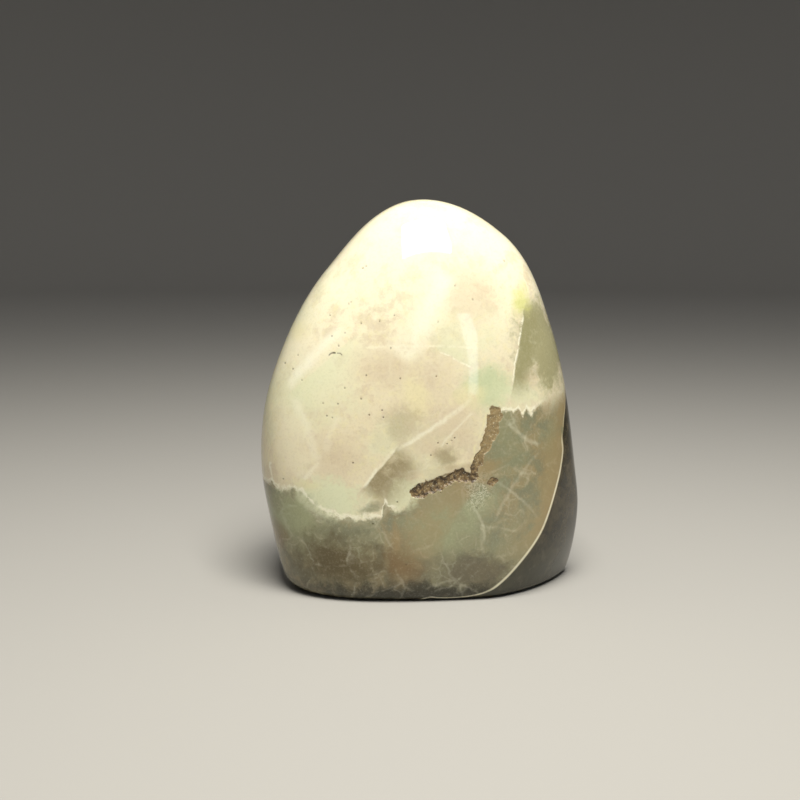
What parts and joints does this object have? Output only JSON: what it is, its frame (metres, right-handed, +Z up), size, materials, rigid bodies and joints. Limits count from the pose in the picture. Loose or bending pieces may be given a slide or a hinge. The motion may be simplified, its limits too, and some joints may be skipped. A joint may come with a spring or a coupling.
{
  "type": "polished garnierite free-form",
  "caption": "Polished pale green and cream stone, egg-shaped and ground flat underneath, so that it stands upright on its own as an ornament.",
  "frame": {"origin": "centre of the foot of the bounding box, on the plane of the ground base", "axes": "+Z up, +Y from the front to the back, so that the broad front with the fissure faces -Y"},
  "size_m": [0.0588, 0.0402, 0.0702],
  "materials": {
    "stone": "polished"
  },
  "bodies": {
    "root": {"stone": "stone"}
  },
  "joints": []
}
